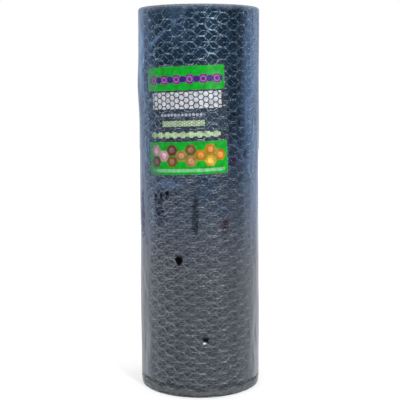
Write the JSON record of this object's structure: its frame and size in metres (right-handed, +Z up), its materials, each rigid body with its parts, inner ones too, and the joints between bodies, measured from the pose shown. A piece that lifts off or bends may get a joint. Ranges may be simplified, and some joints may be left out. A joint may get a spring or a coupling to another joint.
{
  "type": "roll of chicken wire",
  "caption": "Roll of hexagonal wire netting wound on itself, stood on its end, with an open centre, a clear shrink film round it and a printed label.",
  "frame": {"origin": "centre of the end that the roll stands on", "axes": "+Z up along the roll's axis, -Y towards the front of the roll, where the label is"},
  "size_m": [0.2887, 0.2894, 0.9144],
  "materials": {
    "galvanised_wire": "galvanised wire, dull blue-grey",
    "shrink_film": "clear, glossy, wrinkled",
    "label_print": "printed film, glossy"
  },
  "bodies": {
    "root": {"netting_roll": "galvanised_wire", "shrink_film": "shrink_film", "printed_label": "label_print"}
  },
  "joints": []
}
